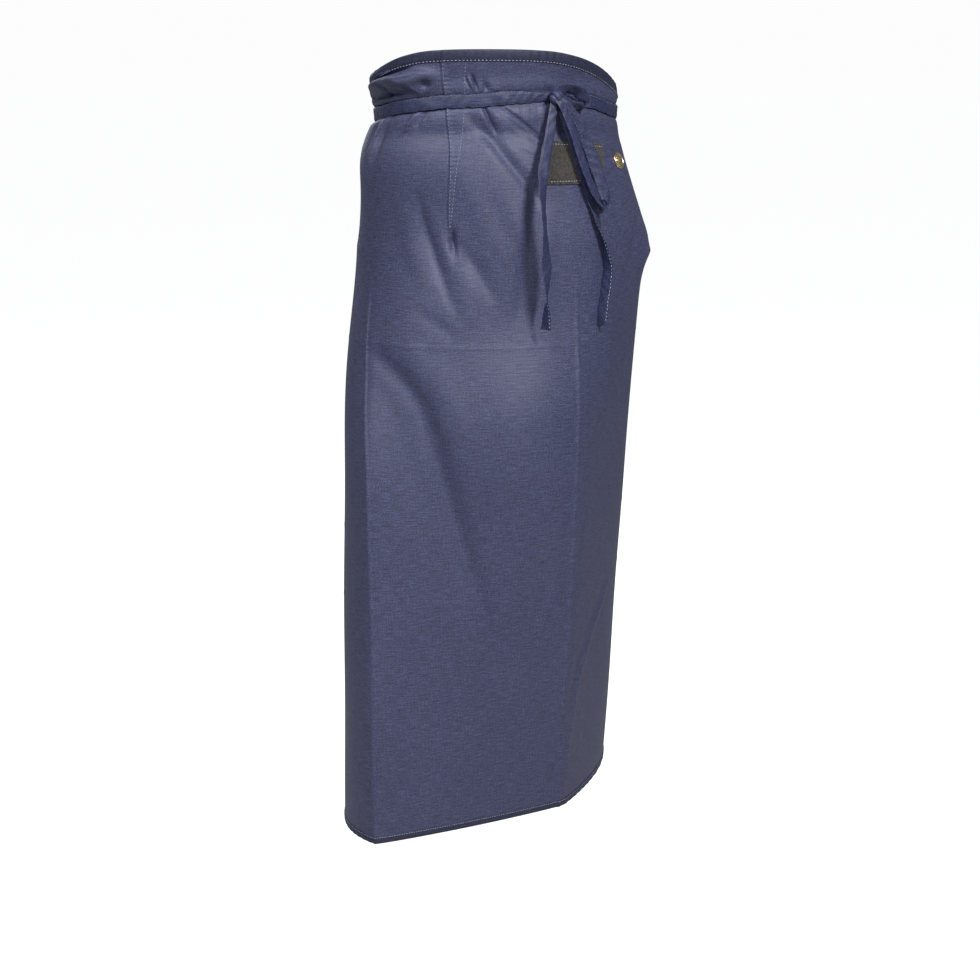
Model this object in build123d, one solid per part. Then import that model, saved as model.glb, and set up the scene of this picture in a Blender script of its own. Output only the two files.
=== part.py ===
from build123d import *
import os
from bisect import bisect_right
from math import atan2, cos, degrees, hypot, pi, radians, sin

# Wrap-round welder's waist apron, tied in a bow at the front. Millimetres, +Z up.
# Origin: centre of the wearer's waist at the height of the ties.
# -Y is the wearer's front, +X the wearer's left.

# ---- cloth panel ----
PANEL_WIDTH = 914.0        # flat width of the cloth
HEM_Z = -860.0             # height of the lower edge
CLOTH = 1.0                # thickness of the cloth
HALF = PANEL_WIDTH / 2
STEP = 16.0                # spacing of the points along a section

# ---- waist ----
WAIST_A = 157.0            # half width of the waist loop
WAIST_B = 123.0            # half depth of the waist loop
FRONT_X = 40.0             # the panel's centre line is to the wearer's left of the bow
WAIST_TOP_Z = 12.0         # the ties squeeze the cloth straight between these heights
WAIST_LOW_Z = -36.0

# ---- darts, one at each side of the front ----
DART_ARC = 185.0           # arc from the centre line to a dart
DART_TAKE = 54.0           # cloth taken in by one dart at the top
DART_TOP_Z = 52.0
DART_TIP_Z = -175.0

# ---- top edge, high at the front and low behind the hips ----
TOP_TURN = 26.5            # direction in which the top edge falls, from +Y towards +X
TOP_CURVE = [(-300, 55), (-136, 54), (-122, 52.5), (-103, 47), (-80, 38.5), (-55, 29), (-30, 20.5),
             (-10, 15.5), (10, 11), (50, 4), (90, 0), (300, 0)]
TOP_LIMIT = 400.0          # size of the cutting prisms

# ---- binding and thread ----
BINDING_SKIN = 0.75        # thickness of one side of the folded tape
TOP_BAND = 13.0            # visible width of the top binding
HEM_BAND = 8.0             # visible width of the hem and side bindings
THREAD = 0.8               # width of a row of stitches
THREAD_SKIN = 0.4          # height of a row of stitches
SKIN_GAP = 0.2             # air between a laid-on piece and what is under it

# ---- ties ----
TAPE_WIDTH = 15.0
TAPE = 0.9                 # thickness of the tape
TIE_OFFSET = 2.2           # from the middle of the cloth to the inside of the tie
TIE_START_ARC = 390.0      # arc from the centre line to the sewn end of a tie
TACK = 12.0                # side of the square tack that holds a sewn end
LEFT_TIE_CURVE = [(-135, 1.3), (135, -28.3)]
RIGHT_TIE_CURVE = [(-135, 0), (-122, -2), (-108, -9), (-90, -15), (-60, -17), (0, -15), (60, -11), (135, -9)]

# ---- bow ----
KNOT = (-8.0, -131.8, 0.0)
KNOT_R = 9.5
KNOT_DEPTH = 11.0
KNOT_ROUND = 3.0
ROOT_R = 10.3              # the tails start this far from the middle of the knot
BULGE_Z = (-12.0, -60.0, -150.0)
BULGE_Y = (0.0, -9.5, -24.0)
RIGHT_TAIL_Y = -127.8
LEFT_TAIL_Y = -130.2
LOOP_BACK_Y = -132.8
LOOP_GAP = 4.0             # air between the two layers of the hanging loop
LOOP_ROOT_Z = -13.0
LOOP_END_Z = -127.0
LEFT_TAIL = [(-12, -8), (-26, -47), (-39, -105), (-42, -171), (-40, -262)]
RIGHT_TAIL = [(-4, -8), (14, -50), (40, -118), (51, -180), (47, -264)]
HANGING_LOOP = [(-3, -8), (12, -45), (27, -84), (45, -129)]
UPPER_LOOP = [(1, 8), (6, 16), (17, 18), (30, 11), (39, 0), (38, -12)]
UPPER_LOOP_DEPTH = 12.0

# ---- patch and snap ----
PATCH_ARC = (-54.0, 33.0)
PATCH_Z = (-98.0, -48.0)
PATCH_SKIN = 1.5
PATCH_INSET = 3.5          # from the patch's edge to its stitches
SNAP_ARC = 74.0
SNAP_Z = -74.0
SNAP_R = 10.0
SNAP_RIM = 1.2
SNAP_DOME = 1.8
SNAP_LIFT = 0.4            # a flat ring stands this far off the middle of the curved cloth
POST_LENGTH = 3.6
POST_R = 2.5
SOCKET_R = 7.0
SOCKET_DEPTH = 3.0

# Headings of the cloth seen from above, in degrees, at stations along its width.
# 0 runs towards the wearer's left. Station 0 is the centre line, where a sharp crease
# starts below the hips; a second crease stands 256 mm to the wearer's right of it.
STATIONS = [-457, -400, -346, -290, -264, -248, -130, -8, 8, 100, 200, 280, 360, 457]
HIP = [-170, -150, -126, -98, -84, -76, -34, -2, 2, 28, 74, 108, 142, 176]
KNEE = [-160, -142, -122, -98, -84, -36, -18, -6, 16, 32, 60, 100, 142, 178]
HEM = [-148, -136, -118, -92, -78, -12, -6, -1, 27, 36, 52, 90, 138, 178]
HIP_Z = -170.0
KNEE_Z = -450.0
LOFT_Z = [HEM_Z, -655, KNEE_Z, -310, HIP_Z, -115, -60, WAIST_LOW_Z, WAIST_TOP_Z, 60]


def slopes(xs, ys):
    """Slopes that keep a curve through the points free of overshoot."""
    gaps = [b - a for a, b in zip(xs, xs[1:])]
    rises = [(b - a) / g for a, b, g in zip(ys, ys[1:], gaps)]
    inner = [0.0 if a * b <= 0 else 2 * a * b / (a + b) for a, b in zip(rises, rises[1:])]
    return [rises[0]] + inner + [rises[-1]]


def smooth(xs, ys, x):
    """Value at x of a smooth curve through the points (xs, ys)."""
    if x <= xs[0]:
        return ys[0]
    if x >= xs[-1]:
        return ys[-1]
    ms = slopes(xs, ys)
    i = bisect_right(xs, x) - 1
    gap = xs[i + 1] - xs[i]
    t = (x - xs[i]) / gap
    a = (1 + 2 * t) * (1 - t) ** 2 * ys[i] + t * (1 - t) ** 2 * gap * ms[i]
    b = t * t * (3 - 2 * t) * ys[i + 1] + t * t * (t - 1) * gap * ms[i + 1]
    return a + b


def dart_take(z):
    """Cloth taken in by one dart at height z."""
    return max(0.0, DART_TAKE * (z - DART_TIP_Z) / (DART_TOP_Z - DART_TIP_Z))


class Oval:
    """A waist loop, measured by arc from the panel's centre line."""

    def __init__(self, z, a, b, front_x):
        self.z = z
        self.a = a
        self.b = b
        start = atan2(front_x / a, (1 - (front_x / a) ** 2) ** 0.5)
        self.turns = [start + radians(k) for k in range(-180, 181)]
        self.arcs = [0.0]
        for p, q in zip(self.turns, self.turns[1:]):
            self.arcs.append(self.arcs[-1] + (self.at(q) - self.at(p)).length)
        middle = self.arcs[180]
        self.arcs = [arc - middle for arc in self.arcs]
        self.centre = self.at(start)

    def at(self, turn, out=0.0):
        return Vector((self.a + out) * sin(turn), -(self.b + out) * cos(turn))

    def turn_at(self, arc):
        i = min(max(bisect_right(self.arcs, arc) - 1, 0), len(self.arcs) - 2)
        part = (arc - self.arcs[i]) / (self.arcs[i + 1] - self.arcs[i])
        return self.turns[i] + part * (self.turns[i + 1] - self.turns[i])

    def heading(self, station):
        arc = station * (HALF - dart_take(self.z)) / HALF
        turn = self.turn_at(arc)
        return degrees(turn) + degrees(atan2(self.b * sin(turn), self.a * cos(turn)) - turn) % 360


class Drop:
    """A section below the waist, given by its headings at the stations."""

    def __init__(self, z, headings, centre):
        self.z = z
        self.headings = headings
        self.centre = Vector(*centre)

    def heading(self, station):
        return smooth(STATIONS, self.headings, station)


WAIST = Oval(WAIST_TOP_Z, WAIST_A, WAIST_B, FRONT_X)
LEVELS = [
    Drop(HEM_Z, HEM, (-2, -147)),
    Drop(KNEE_Z, KNEE, (11, -150)),
    Drop(HIP_Z, HIP, (19.4, -148)),
    Oval(-60, WAIST_A + 8, WAIST_B + 6, 36),
    Oval(WAIST_LOW_Z, WAIST_A, WAIST_B, FRONT_X),
    WAIST,
    Oval(DART_TOP_Z, WAIST_A + 4, WAIST_B + 4, 41),
]
LEVEL_Z = [level.z for level in LEVELS]


def level_heading(level, station):
    """The level's heading, on the turn that is nearest to its neighbours'."""
    angle = level.heading(station)
    guess = smooth(STATIONS, HIP, station)
    return angle - 360 * round((angle - guess) / 360)


def stations_between(first, last):
    """Stations from first to last, closer together at the creases."""
    marks = {first, last}
    marks.update(s for s in STATIONS if first < s < last)
    count = int((last - first) / STEP)
    marks.update(first + (last - first) * k / count for k in range(count))
    for crease in (-256, 0):
        marks.update(crease + d for d in (-4, 0, 4) if first < crease + d < last)
    ordered = sorted(marks)
    kept = [ordered[0]]
    for mark in ordered[1:]:
        if mark - kept[-1] > 2.5:
            kept.append(mark)
    kept[-1] = last
    return kept


CLOTH_LINES = {}


def cloth_line(z):
    """Stations, points and headings of the middle of the cloth at height z."""
    if z not in CLOTH_LINES:
        CLOTH_LINES[z] = level_line(z) if z in LOFT_Z else line_between(z)
    return CLOTH_LINES[z]


def line_between(z):
    """A section between two lofted levels, where the cloth is straight up and down."""
    i = min(max(bisect_right(LOFT_Z, z) - 1, 0), len(LOFT_Z) - 2)
    t = (z - LOFT_Z[i]) / (LOFT_Z[i + 1] - LOFT_Z[i])
    marks, low_points, low_angles = cloth_line(LOFT_Z[i])
    high_points, high_angles = cloth_line(LOFT_Z[i + 1])[1:]
    pairs = zip(low_points, high_points)
    points = [(p[0] + t * (q[0] - p[0]), p[1] + t * (q[1] - p[1])) for p, q in pairs]
    angles = [a + t * (b - a) for a, b in zip(low_angles, high_angles)]
    return marks, points, angles


def level_line(z):
    """A lofted level, built outwards from the centre line by its headings."""
    marks = stations_between(-HALF, HALF)
    centre_index = min(range(len(marks)), key=lambda i: abs(marks[i]))
    marks[centre_index] = 0.0
    shrink = (HALF - dart_take(z)) / HALF
    angles = [smooth(LEVEL_Z, [level_heading(lv, s) for lv in LEVELS], z) for s in marks]
    x = smooth(LEVEL_Z, [lv.centre.X for lv in LEVELS], z)
    y = smooth(LEVEL_Z, [lv.centre.Y for lv in LEVELS], z)
    points = {centre_index: (x, y)}
    for direction in (1, -1):
        i = centre_index
        while 0 <= i + direction < len(marks):
            j = i + direction
            mean = radians((angles[i] + angles[j]) / 2)
            run = (marks[j] - marks[i]) * shrink
            points[j] = (points[i][0] + run * cos(mean), points[i][1] + run * sin(mean))
            i = j
    return marks, [points[i] for i in range(len(marks))], angles


def cloth_point(arc, z, out=0.0):
    """Point of the cloth at an arc from the centre line, moved outwards by out."""
    marks, points, angles = cloth_line(z)
    station = arc * HALF / (HALF - dart_take(z))
    inside = min(max(station, -HALF), HALF)
    x = smooth(marks, [p[0] for p in points], inside)
    y = smooth(marks, [p[1] for p in points], inside)
    angle = radians(smooth(marks, angles, inside))
    past = (station - inside) * (HALF - dart_take(z)) / HALF
    x += past * cos(angle) + out * sin(angle)
    y += past * sin(angle) - out * cos(angle)
    return Vector(x, y, z)


def edge_arc(z):
    """Arc from the centre line to the panel's side edge at height z."""
    return HALF - dart_take(z)


def ring_section(z, section_z, arcs, inner, outer):
    """Closed flat outline of a strip of the cloth, between two offsets from its middle."""
    lift = Vector(0, 0, z - section_z)
    outside = [cloth_point(arc, section_z, outer) + lift for arc in arcs]
    inside = [cloth_point(arc, section_z, inner) + lift for arc in arcs]
    curve = Spline if len(arcs) > 2 else Line
    edges = [
        curve(*outside),
        Line(outside[-1], inside[-1]),
        curve(*reversed(inside)),
        Line(inside[0], outside[0]),
    ]
    return Wire(edges)


def cloth_shell(heights, inner, outer, first=None, last=None):
    """Strip of cloth-shaped sheet over the heights; arcs default to the whole width."""
    wires = []
    for z in heights:
        section_z = min(max(z, HEM_Z), DART_TOP_Z + 8)
        edge = edge_arc(section_z)
        low = -edge if first is None else first(section_z)
        high = edge if last is None else last(section_z)
        if high - low > 3 * STEP:
            scale = (HALF - dart_take(section_z)) / HALF
            arcs = [s * scale for s in stations_between(low / scale, high / scale)]
        else:
            arcs = [low, high]
        wires.append(ring_section(z, section_z, arcs, inner, outer))
    return Solid.make_loft(wires, ruled=True)


def band_prism(profile, low, high, turn=0.0):
    """Slab between two copies of a height profile, run through the whole apron."""
    along = (sin(radians(turn)), cos(radians(turn)), 0)
    across = (cos(radians(turn)), -sin(radians(turn)), 0)
    plane = Plane(origin=(0, 0, 0), x_dir=along, z_dir=across)
    upper = [plane.from_local_coords(Vector(x, z + high)) for x, z in profile]
    lower = [plane.from_local_coords(Vector(x, z + low)) for x, z in profile]
    curve = Spline if len(profile) > 2 else Line
    outline = Wire([
        curve(*upper),
        Line(upper[-1], lower[-1]),
        curve(*reversed(lower)),
        Line(lower[0], upper[0]),
    ])
    return extrude(Face(outline), amount=TOP_LIMIT, dir=across, both=True)


def below_top(drop):
    """Everything lower than the top edge by at least drop."""
    return band_prism(TOP_CURVE, -1200, -drop, TOP_TURN)


def tie_ring(inner, outer, start_arc, end_arc):
    """Upright strip that follows the waist loop between two arcs."""
    count = 48
    arcs = [start_arc + (end_arc - start_arc) * k / count for k in range(count + 1)]
    base = -60.0
    outside = [WAIST.at(radians(tie_turn(arc)), outer) + Vector(0, 0, base) for arc in arcs]
    inside = [WAIST.at(radians(tie_turn(arc)), inner) + Vector(0, 0, base) for arc in arcs]
    outline = Wire([
        Spline(*outside),
        Line(outside[-1], inside[-1]),
        Spline(*reversed(inside)),
        Line(inside[0], outside[0]),
    ])
    return extrude(Face(outline), amount=100, dir=(0, 0, 1))


def tie_turn(arc):
    """Angle in degrees round the waist loop at an arc that may pass the back."""
    whole = WAIST.arcs[-1] - WAIST.arcs[0]
    laps = (arc - WAIST.arcs[0]) // whole
    return degrees(WAIST.turn_at(arc - laps * whole)) + 360 * laps


def tape_outline(centre_line, width):
    """Prism through the front view of a tape that follows a line of (x, z) points."""
    left = []
    right = []
    for i, (x, z) in enumerate(centre_line):
        before = centre_line[max(i - 1, 0)]
        after = centre_line[min(i + 1, len(centre_line) - 1)]
        run = hypot(after[0] - before[0], after[1] - before[1])
        nx = -(after[1] - before[1]) / run
        nz = (after[0] - before[0]) / run
        left.append(Vector(x + nx * width / 2, 0, z + nz * width / 2))
        right.append(Vector(x - nx * width / 2, 0, z - nz * width / 2))
    curve = Spline if len(centre_line) > 2 else Line
    outline = Wire([
        curve(*left),
        Line(left[-1], right[-1]),
        curve(*reversed(right)),
        Line(right[0], left[0]),
    ])
    return extrude(Face(outline), amount=TOP_LIMIT, dir=(0, -1, 0))


def hanging_profile(root_y, near, far):
    """Side view of a tape that hangs from the knot over the belly, as a prism."""
    top = 40.0
    bottom = -400.0
    heights = [top, *BULGE_Z, bottom]
    bulge = [0.0, *BULGE_Y, BULGE_Y[-1]]
    face_near = [Vector(0, root_y + b - near, z) for z, b in zip(heights, bulge)]
    face_far = [Vector(0, root_y + b - far, z) for z, b in zip(heights, bulge)]
    outline = Wire([
        *tangent_runs(face_near),
        Line(face_near[-1], face_far[-1]),
        *tangent_runs(face_far[::-1]),
        Line(face_far[0], face_near[0]),
    ])
    return extrude(Face(outline), amount=TOP_LIMIT, dir=(1, 0, 0), both=True)


def tangent_runs(points):
    """Straight runs with rounded corners."""
    radius = 60.0
    return FilletPolyline(*points, radius=radius).edges()


def knot_cutter(radius):
    """Cylinder round the knot's middle, along Y."""
    plane = Plane(origin=(KNOT[0], -50, KNOT[2]), x_dir=(1, 0, 0), z_dir=(0, -1, 0))
    return Solid.make_cylinder(radius, 200, plane)


def outward_plane(arc, z):
    """Plane on the middle of the cloth, facing outwards."""
    step = 4.0
    here = cloth_point(arc, z)
    side = cloth_point(arc + step, z) - cloth_point(arc - step, z)
    rise = cloth_point(arc, z + step) - cloth_point(arc, z - step)
    return Plane(origin=here, x_dir=side, z_dir=side.cross(rise))


# ---- pieces ----

def make_panel():
    hole = outward_plane(SNAP_ARC, SNAP_Z).location * Cylinder(POST_R + SKIN_GAP, 4 * CLOTH)
    return (cloth_shell(LOFT_Z, -CLOTH / 2, CLOTH / 2) & below_top(0)) - hole


def make_top_binding(panel):
    reach = CLOTH / 2 + BINDING_SKIN
    heights = [z for z in LOFT_Z if z >= -60]
    sheet = cloth_shell(heights, -reach, reach)
    band = band_prism(TOP_CURVE, -TOP_BAND, BINDING_SKIN, TOP_TURN)
    return (sheet & band) - panel


def make_hem_binding(panel):
    reach = CLOTH / 2 + BINDING_SKIN
    heights = [HEM_Z - BINDING_SKIN, HEM_Z + HEM_BAND]
    return cloth_shell(heights, -reach, reach) - panel


def make_side_binding(panel, side):
    """side is -1 at the wearer's right and 1 at the left."""
    reach = CLOTH / 2 + BINDING_SKIN
    low = HEM_Z + HEM_BAND + SKIN_GAP
    heights = [low, *[z for z in LOFT_Z if low < z < WAIST_TOP_Z], WAIST_TOP_Z]
    near = lambda z: side * (edge_arc(z) - HEM_BAND)
    past = lambda z: side * (edge_arc(z) + BINDING_SKIN)
    limits = (past, near) if side < 0 else (near, past)
    strip = cloth_shell(heights, -reach, reach, *limits)
    return (strip & below_top(TOP_BAND + SKIN_GAP)) - panel


def thread_offsets(under):
    return under + SKIN_GAP, under + SKIN_GAP + THREAD_SKIN


def make_top_stitching():
    inner, outer = thread_offsets(CLOTH / 2 + BINDING_SKIN)
    row = TOP_BAND - 1.4
    sheet = cloth_shell([z for z in LOFT_Z if z >= -60], inner, outer)
    return sheet & band_prism(TOP_CURVE, -row, THREAD - row, TOP_TURN)


def make_hem_stitching():
    inner, outer = thread_offsets(CLOTH / 2 + BINDING_SKIN)
    row = HEM_Z + HEM_BAND - 1.4
    return cloth_shell([row - THREAD, row], inner, outer)


def make_side_stitching(side):
    inner, outer = thread_offsets(CLOTH / 2 + BINDING_SKIN)
    low = HEM_Z + HEM_BAND + 2 * THREAD
    heights = [low, *[z for z in LOFT_Z if low < z < WAIST_LOW_Z], WAIST_LOW_Z]
    near = lambda z: side * (edge_arc(z) - HEM_BAND + 0.6)
    far = lambda z: side * (edge_arc(z) - HEM_BAND + 0.6 + THREAD)
    limits = (far, near) if side < 0 else (near, far)
    return cloth_shell(heights, inner, outer, *limits)


def make_dart_stitching(side):
    """Two rows that close the dart and meet near its tip."""
    inner, outer = thread_offsets(CLOTH / 2)
    row_z = [-146.0, -110.0, -85.0, -60.0, WAIST_LOW_Z, -12.0, WAIST_TOP_Z, 33.0]
    fold_arc = [166.0, 168.0, 169.5, 171.0, 173.0, 175.5, 178.0, 181.0]
    second_arc = [163.0, 160.0, 157.0, 154.5, 154.0, 153.5, 154.0, 155.0]
    rows = []
    for arcs in (fold_arc, second_arc):
        near = lambda z, arcs=arcs: side * smooth(row_z, arcs, z) - THREAD / 2
        far = lambda z, arcs=arcs: side * smooth(row_z, arcs, z) + THREAD / 2
        heights = sorted({*row_z, *[z for z in LOFT_Z if row_z[0] < z < row_z[-1]]})
        rows.append(cloth_shell(heights, inner, outer, near, far) & below_top(TOP_BAND + 1))
    return rows


def make_patch():
    under = CLOTH / 2 + SKIN_GAP
    heights = [PATCH_Z[0], *[z for z in LOFT_Z if PATCH_Z[0] < z < PATCH_Z[1]], PATCH_Z[1]]
    low = lambda z: PATCH_ARC[0]
    high = lambda z: PATCH_ARC[1]
    return cloth_shell(heights, under, under + PATCH_SKIN, low, high)


def make_patch_stitching():
    """One row along the patch's top and one along its bottom."""
    inner, outer = thread_offsets(CLOTH / 2 + SKIN_GAP + PATCH_SKIN)
    low = lambda z: PATCH_ARC[0] + PATCH_INSET
    high = lambda z: PATCH_ARC[1] - PATCH_INSET
    rows = []
    for z in (PATCH_Z[0] + PATCH_INSET, PATCH_Z[1] - PATCH_INSET):
        rows.append(cloth_shell([z - THREAD / 2, z + THREAD / 2], inner, outer, low, high))
    return rows


def make_snap_cap():
    """Domed cap with a rim, and the post that goes through the cloth."""
    plane = outward_plane(SNAP_ARC, SNAP_Z)
    base = CLOTH / 2 + SNAP_LIFT
    rim = Pos(0, 0, base + SNAP_RIM / 2) * Cylinder(SNAP_R, SNAP_RIM)
    dome_r = (SNAP_R - 2) ** 2 / (2 * SNAP_DOME) + SNAP_DOME / 2
    dome = Pos(0, 0, base + SNAP_RIM + SNAP_DOME - dome_r) * Sphere(dome_r)
    keep = Pos(0, 0, base + SNAP_RIM + SNAP_DOME / 2) * Cylinder(SNAP_R - 2, SNAP_DOME)
    post = Pos(0, 0, base - POST_LENGTH / 2) * Cylinder(POST_R, POST_LENGTH)
    return plane.location * (rim + (dome & keep) + post)


def make_snap_socket():
    """Ring behind the cloth, with the post spread inside it."""
    plane = outward_plane(SNAP_ARC, SNAP_Z)
    top = -CLOTH / 2 - SNAP_LIFT
    disc = Pos(0, 0, top - SOCKET_DEPTH / 2) * Cylinder(SOCKET_R, SOCKET_DEPTH)
    well = Pos(0, 0, top - SOCKET_DEPTH + 0.75) * Cylinder(POST_R + 1.5, 1.5)
    bore = Pos(0, 0, top) * Cylinder(POST_R + SKIN_GAP / 2, 3 * SOCKET_DEPTH)
    return plane.location * (fillet(disc.edges(), 0.8) - well - bore)


def make_tie(side):
    """side -1 is sewn at the wearer's right corner and passes round the wearer's left."""
    ring = tie_ring(TIE_OFFSET, TIE_OFFSET + TAPE, *tie_arcs(side))
    curve = RIGHT_TIE_CURVE if side < 0 else LEFT_TIE_CURVE
    return ring & band_prism(curve, -TAPE_WIDTH / 2, TAPE_WIDTH / 2)


def tie_arcs(side):
    """A tie starts on its own back corner, crosses the back and ends under the knot."""
    whole = WAIST.arcs[-1] - WAIST.arcs[0]
    knot_arc = FRONT_X - KNOT[0]
    if side < 0:
        return 1 - knot_arc, whole - TIE_START_ARC
    return TIE_START_ARC, whole - knot_arc - 1


def make_tie_stitching(side):
    inner, outer = thread_offsets(TIE_OFFSET + TAPE)
    start, end = tie_arcs(side)
    ring = tie_ring(inner, outer, start + 14, end - 14)
    curve = RIGHT_TIE_CURVE if side < 0 else LEFT_TIE_CURVE
    row = TAPE_WIDTH / 2 - 1.2
    return ring & band_prism(curve, row - THREAD, row)


def make_tie_tack(side):
    """Square of close stitches over the sewn end of a tie."""
    inner, outer = thread_offsets(TIE_OFFSET + TAPE)
    whole = WAIST.arcs[-1] - WAIST.arcs[0]
    middle = whole - TIE_START_ARC - 7.5 if side < 0 else TIE_START_ARC + 7.5
    ring = tie_ring(inner, outer, middle - TACK / 2, middle + TACK / 2)
    curve = RIGHT_TIE_CURVE if side < 0 else LEFT_TIE_CURVE
    return ring & band_prism(curve, -TACK / 2, TACK / 2 - 2.5)


def make_knot():
    plane = Plane(origin=(KNOT[0], KNOT[1] + KNOT_DEPTH / 2, KNOT[2]), x_dir=(1, 0, 0), z_dir=(0, -1, 0))
    barrel = Solid.make_cylinder(KNOT_R, KNOT_DEPTH, plane)
    return fillet(barrel.edges().filter_by(GeomType.CIRCLE), KNOT_ROUND)


def make_upper_loop():
    """Short loop that arches up from the knot and comes down at the wearer's left."""
    back = KNOT[1] + KNOT_DEPTH / 2 - 0.6
    path = Spline(*[Vector(x, back, z) for x, z in UPPER_LOOP])
    band = trace_band(path, TAPE)
    arch = extrude(band, amount=UPPER_LOOP_DEPTH, dir=(0, -1, 0))
    return arch - knot_cutter(KNOT_R + SKIN_GAP)


def trace_band(path, thickness):
    """Flat band of even thickness that follows a path in an XZ plane."""
    count = 24
    left = []
    right = []
    for k in range(count + 1):
        here = path.position_at(k / count)
        tangent = path.tangent_at(k / count)
        normal = Vector(-tangent.Z, 0, tangent.X) * (thickness / 2)
        left.append(here + normal)
        right.append(here - normal)
    outline = Wire([
        Spline(*left),
        Line(left[-1], right[-1]),
        Spline(*reversed(right)),
        Line(right[0], left[0]),
    ])
    return Face(outline)


def make_tail(centre_line, root_y):
    tape = tape_outline(centre_line, TAPE_WIDTH) & hanging_profile(root_y, 0, TAPE)
    return tape - knot_cutter(ROOT_R)


def make_tail_stitching(centre_line, root_y):
    """Row of stitches down the middle of the tail's outer face."""
    near, far = thread_offsets(TAPE)
    row = tape_outline(centre_line, THREAD) & hanging_profile(root_y, near, far)
    return row - knot_cutter(ROOT_R + 1)


def make_hanging_loop():
    """Two layers of tape joined by a round fold at the bottom."""
    depth = 2 * TAPE + LOOP_GAP
    outer = tape_outline(HANGING_LOOP, TAPE_WIDTH) & hanging_profile(LOOP_BACK_Y, 0, depth)
    hollow = tape_outline(HANGING_LOOP, 3 * TAPE_WIDTH) & hanging_profile(LOOP_BACK_Y, TAPE, depth - TAPE)
    keep = Pos(0, 0, (LOOP_ROOT_Z + LOOP_END_Z) / 2) * Box(400, 400, LOOP_ROOT_Z - LOOP_END_Z)
    open_low = LOOP_END_Z + 2 * TAPE
    open_part = Pos(0, 0, (LOOP_ROOT_Z + 20 + open_low) / 2) * Box(400, 400, LOOP_ROOT_Z + 20 - open_low)
    return (outer & keep) - (hollow & open_part)


def as_one(shape):
    """The shape's solids, as one solid or one compound."""
    if isinstance(shape, list):
        solids = [s for item in shape for s in item.solids()]
    else:
        solids = list(shape.solids())
    return solids[0] if len(solids) == 1 else Compound(children=solids)


def make_parts():
    panel = as_one(make_panel())
    return {
        "apron_panel": panel,
        "top_binding": make_top_binding(panel),
        "hem_binding": make_hem_binding(panel),
        "side_binding_right": make_side_binding(panel, -1),
        "side_binding_left": make_side_binding(panel, 1),
        "top_stitching": make_top_stitching(),
        "hem_stitching": make_hem_stitching(),
        "side_stitching_right": make_side_stitching(-1),
        "side_stitching_left": make_side_stitching(1),
        "dart_stitching_right": make_dart_stitching(-1),
        "dart_stitching_left": make_dart_stitching(1),
        "label_patch": make_patch(),
        "patch_stitching": make_patch_stitching(),
        "snap_cap": make_snap_cap(),
        "snap_socket": make_snap_socket(),
        "tie_right": make_tie(-1),
        "tie_left": make_tie(1),
        "tie_stitching_right": make_tie_stitching(-1),
        "tie_stitching_left": make_tie_stitching(1),
        "tie_tack_right": make_tie_tack(-1),
        "tie_tack_left": make_tie_tack(1),
        "bow_knot": make_knot(),
        "bow_upper_loop": make_upper_loop(),
        "bow_hanging_loop": make_hanging_loop(),
        "tail_right": make_tail(RIGHT_TAIL, RIGHT_TAIL_Y),
        "tail_left": make_tail(LEFT_TAIL, LEFT_TAIL_Y),
        "tail_stitching_right": make_tail_stitching(RIGHT_TAIL, RIGHT_TAIL_Y),
        "tail_stitching_left": make_tail_stitching(LEFT_TAIL, LEFT_TAIL_Y),
    }


os.makedirs("parts", exist_ok=True)
for name, shape in make_parts().items():
    solid = as_one(shape)
    print(f"{name}: {len(solid.solids())} solid(s), {solid.volume:.0f} mm3")
    export_step(solid, f"parts/{name}.step")
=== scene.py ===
import math
import random

import bpy
import numpy as np
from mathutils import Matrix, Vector


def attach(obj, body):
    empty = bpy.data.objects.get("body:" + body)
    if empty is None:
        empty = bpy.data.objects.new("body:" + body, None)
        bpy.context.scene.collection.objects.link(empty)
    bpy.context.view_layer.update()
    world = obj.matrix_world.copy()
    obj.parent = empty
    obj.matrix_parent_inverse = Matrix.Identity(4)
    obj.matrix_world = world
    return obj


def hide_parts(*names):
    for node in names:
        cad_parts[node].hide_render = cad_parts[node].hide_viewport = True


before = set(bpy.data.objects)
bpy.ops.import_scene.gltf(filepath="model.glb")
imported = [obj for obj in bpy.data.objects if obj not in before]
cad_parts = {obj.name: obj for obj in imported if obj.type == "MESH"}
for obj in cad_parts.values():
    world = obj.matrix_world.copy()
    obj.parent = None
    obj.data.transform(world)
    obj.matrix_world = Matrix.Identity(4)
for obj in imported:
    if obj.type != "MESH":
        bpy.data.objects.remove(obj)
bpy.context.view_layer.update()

# Wrap-round welder's waist apron, tied in a bow at the front. Metres, +Z up.
# Origin: centre of the wearer's waist at the height of the ties. -Y is the wearer's
# front, +X the wearer's left. A place on the cloth is (arc, z): arc is measured along
# the cloth from its centre line, positive towards the wearer's left.

RANDOM = random.Random(7)
SIDES = ((-1, "right"), (1, "left"))        # the wearer's


# ------------------------------------------------------------------ curves

def cubic(xs, ys, slope, x):
    """Value at x of the cubic pieces through (xs, ys) with these slopes. ys may hold rows."""
    tail = (1,) * (ys.ndim - 1)
    i = np.clip(np.searchsorted(xs, x, side="right") - 1, 0, len(xs) - 2)
    gap = xs[i + 1] - xs[i]
    t = np.clip((x - xs[i]) / gap, 0, 1).reshape(x.shape + tail)
    gap = gap.reshape(x.shape + tail)
    start = (1 + 2 * t) * (1 - t) ** 2 * ys[i] + t * (1 - t) ** 2 * gap * slope[i]
    end = t * t * (3 - 2 * t) * ys[i + 1] + t * t * (t - 1) * gap * slope[i + 1]
    return start + end


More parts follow.
